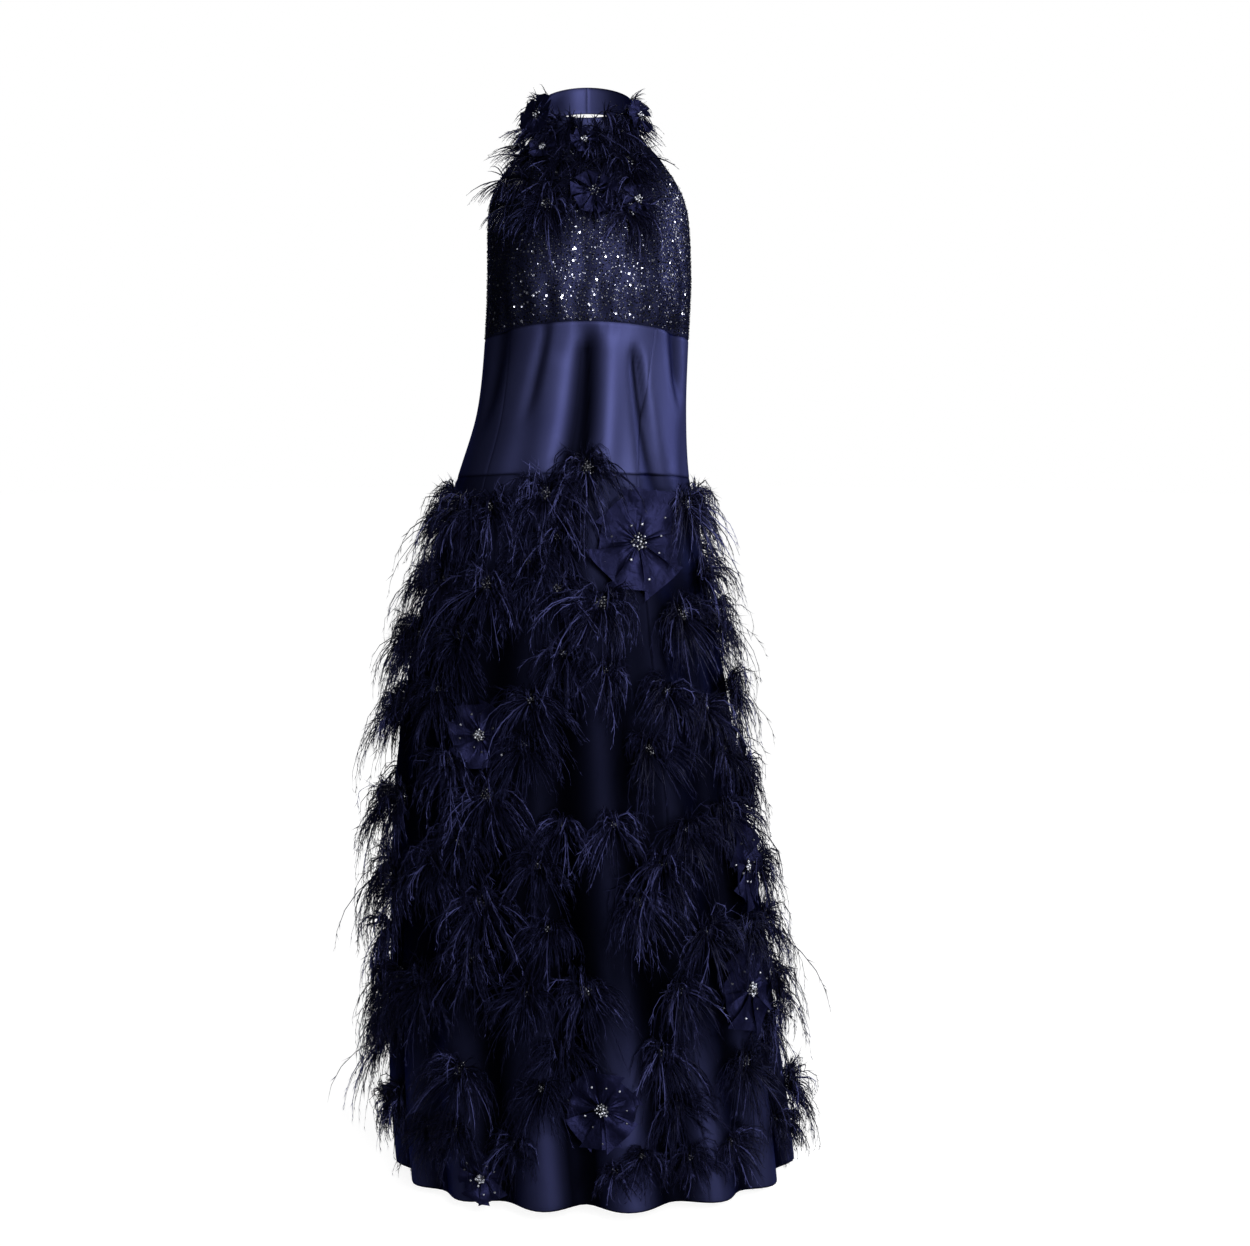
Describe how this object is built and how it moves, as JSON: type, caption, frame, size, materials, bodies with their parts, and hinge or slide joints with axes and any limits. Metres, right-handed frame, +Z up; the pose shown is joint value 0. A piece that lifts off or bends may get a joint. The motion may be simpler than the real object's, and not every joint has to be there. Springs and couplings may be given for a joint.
{
  "type": "halter-neck a-line evening gown",
  "caption": "Floor-length halter-neck a-line gown, worn-shaped and hollow, with a sequinned bodice, feather bursts and folded rosettes on its skirt.",
  "frame": {"origin": "centre of the neck ring, where the wearer's neck holds the gown", "axes": "+Z up along the gown, -Y towards the front, +X towards the wearer's left"},
  "size_m": [0.7211, 0.5376, 1.5498],
  "materials": {
    "satin": "midnight navy satin with a soft sheen",
    "sequin_net": "sequinned net over navy satin",
    "feather": "near-black navy ostrich strands",
    "taffeta": "folded navy taffeta",
    "bead": "faceted jet and silver-lined beads"
  },
  "bodies": {
    "root": {"bodice_back_left": "sequin_net", "bodice_back_right": "sequin_net", "bodice_front": "sequin_net", "burst_01": "feather", "burst_02": "feather", "burst_03": "feather", "burst_04": "feather", "burst_05": "feather", "burst_06": "feather", "burst_07": "feather", "burst_08": "feather", "burst_09": "feather", "burst_10": "feather", "burst_11": "feather", "burst_12": "feather", "burst_13": "feather", "burst_14": "feather", "burst_15": "feather", "burst_16": "feather", "burst_17": "feather", "burst_18": "feather", "burst_19": "feather", "burst_20": "feather", "burst_21": "feather", "burst_22": "feather", "burst_23": "feather", "burst_24": "feather", "burst_25": "feather", "burst_26": "feather", "burst_27": "feather", "burst_28": "feather", "burst_29": "feather", "burst_30": "feather", "burst_31": "feather", "burst_32": "feather", "burst_33": "feather", "burst_34": "feather", "burst_35": "feather", "burst_36": "feather", "collar_band": "satin", "collar_garland": "feather", "rosette_01": "taffeta", "rosette_02": "taffeta", "rosette_03": "taffeta", "rosette_04": "taffeta", "rosette_05": "taffeta", "rosette_06": "taffeta", "rosette_07": "taffeta", "rosette_08": "taffeta", "skirt_back_left": "satin", "skirt_back_right": "satin", "skirt_front": "satin", "skirt_side_left": "satin", "skirt_side_right": "satin", "waist_back_left": "satin", "waist_back_right": "satin", "waist_front": "satin", "waist_side_left": "satin", "waist_side_right": "satin"}
  },
  "joints": []
}
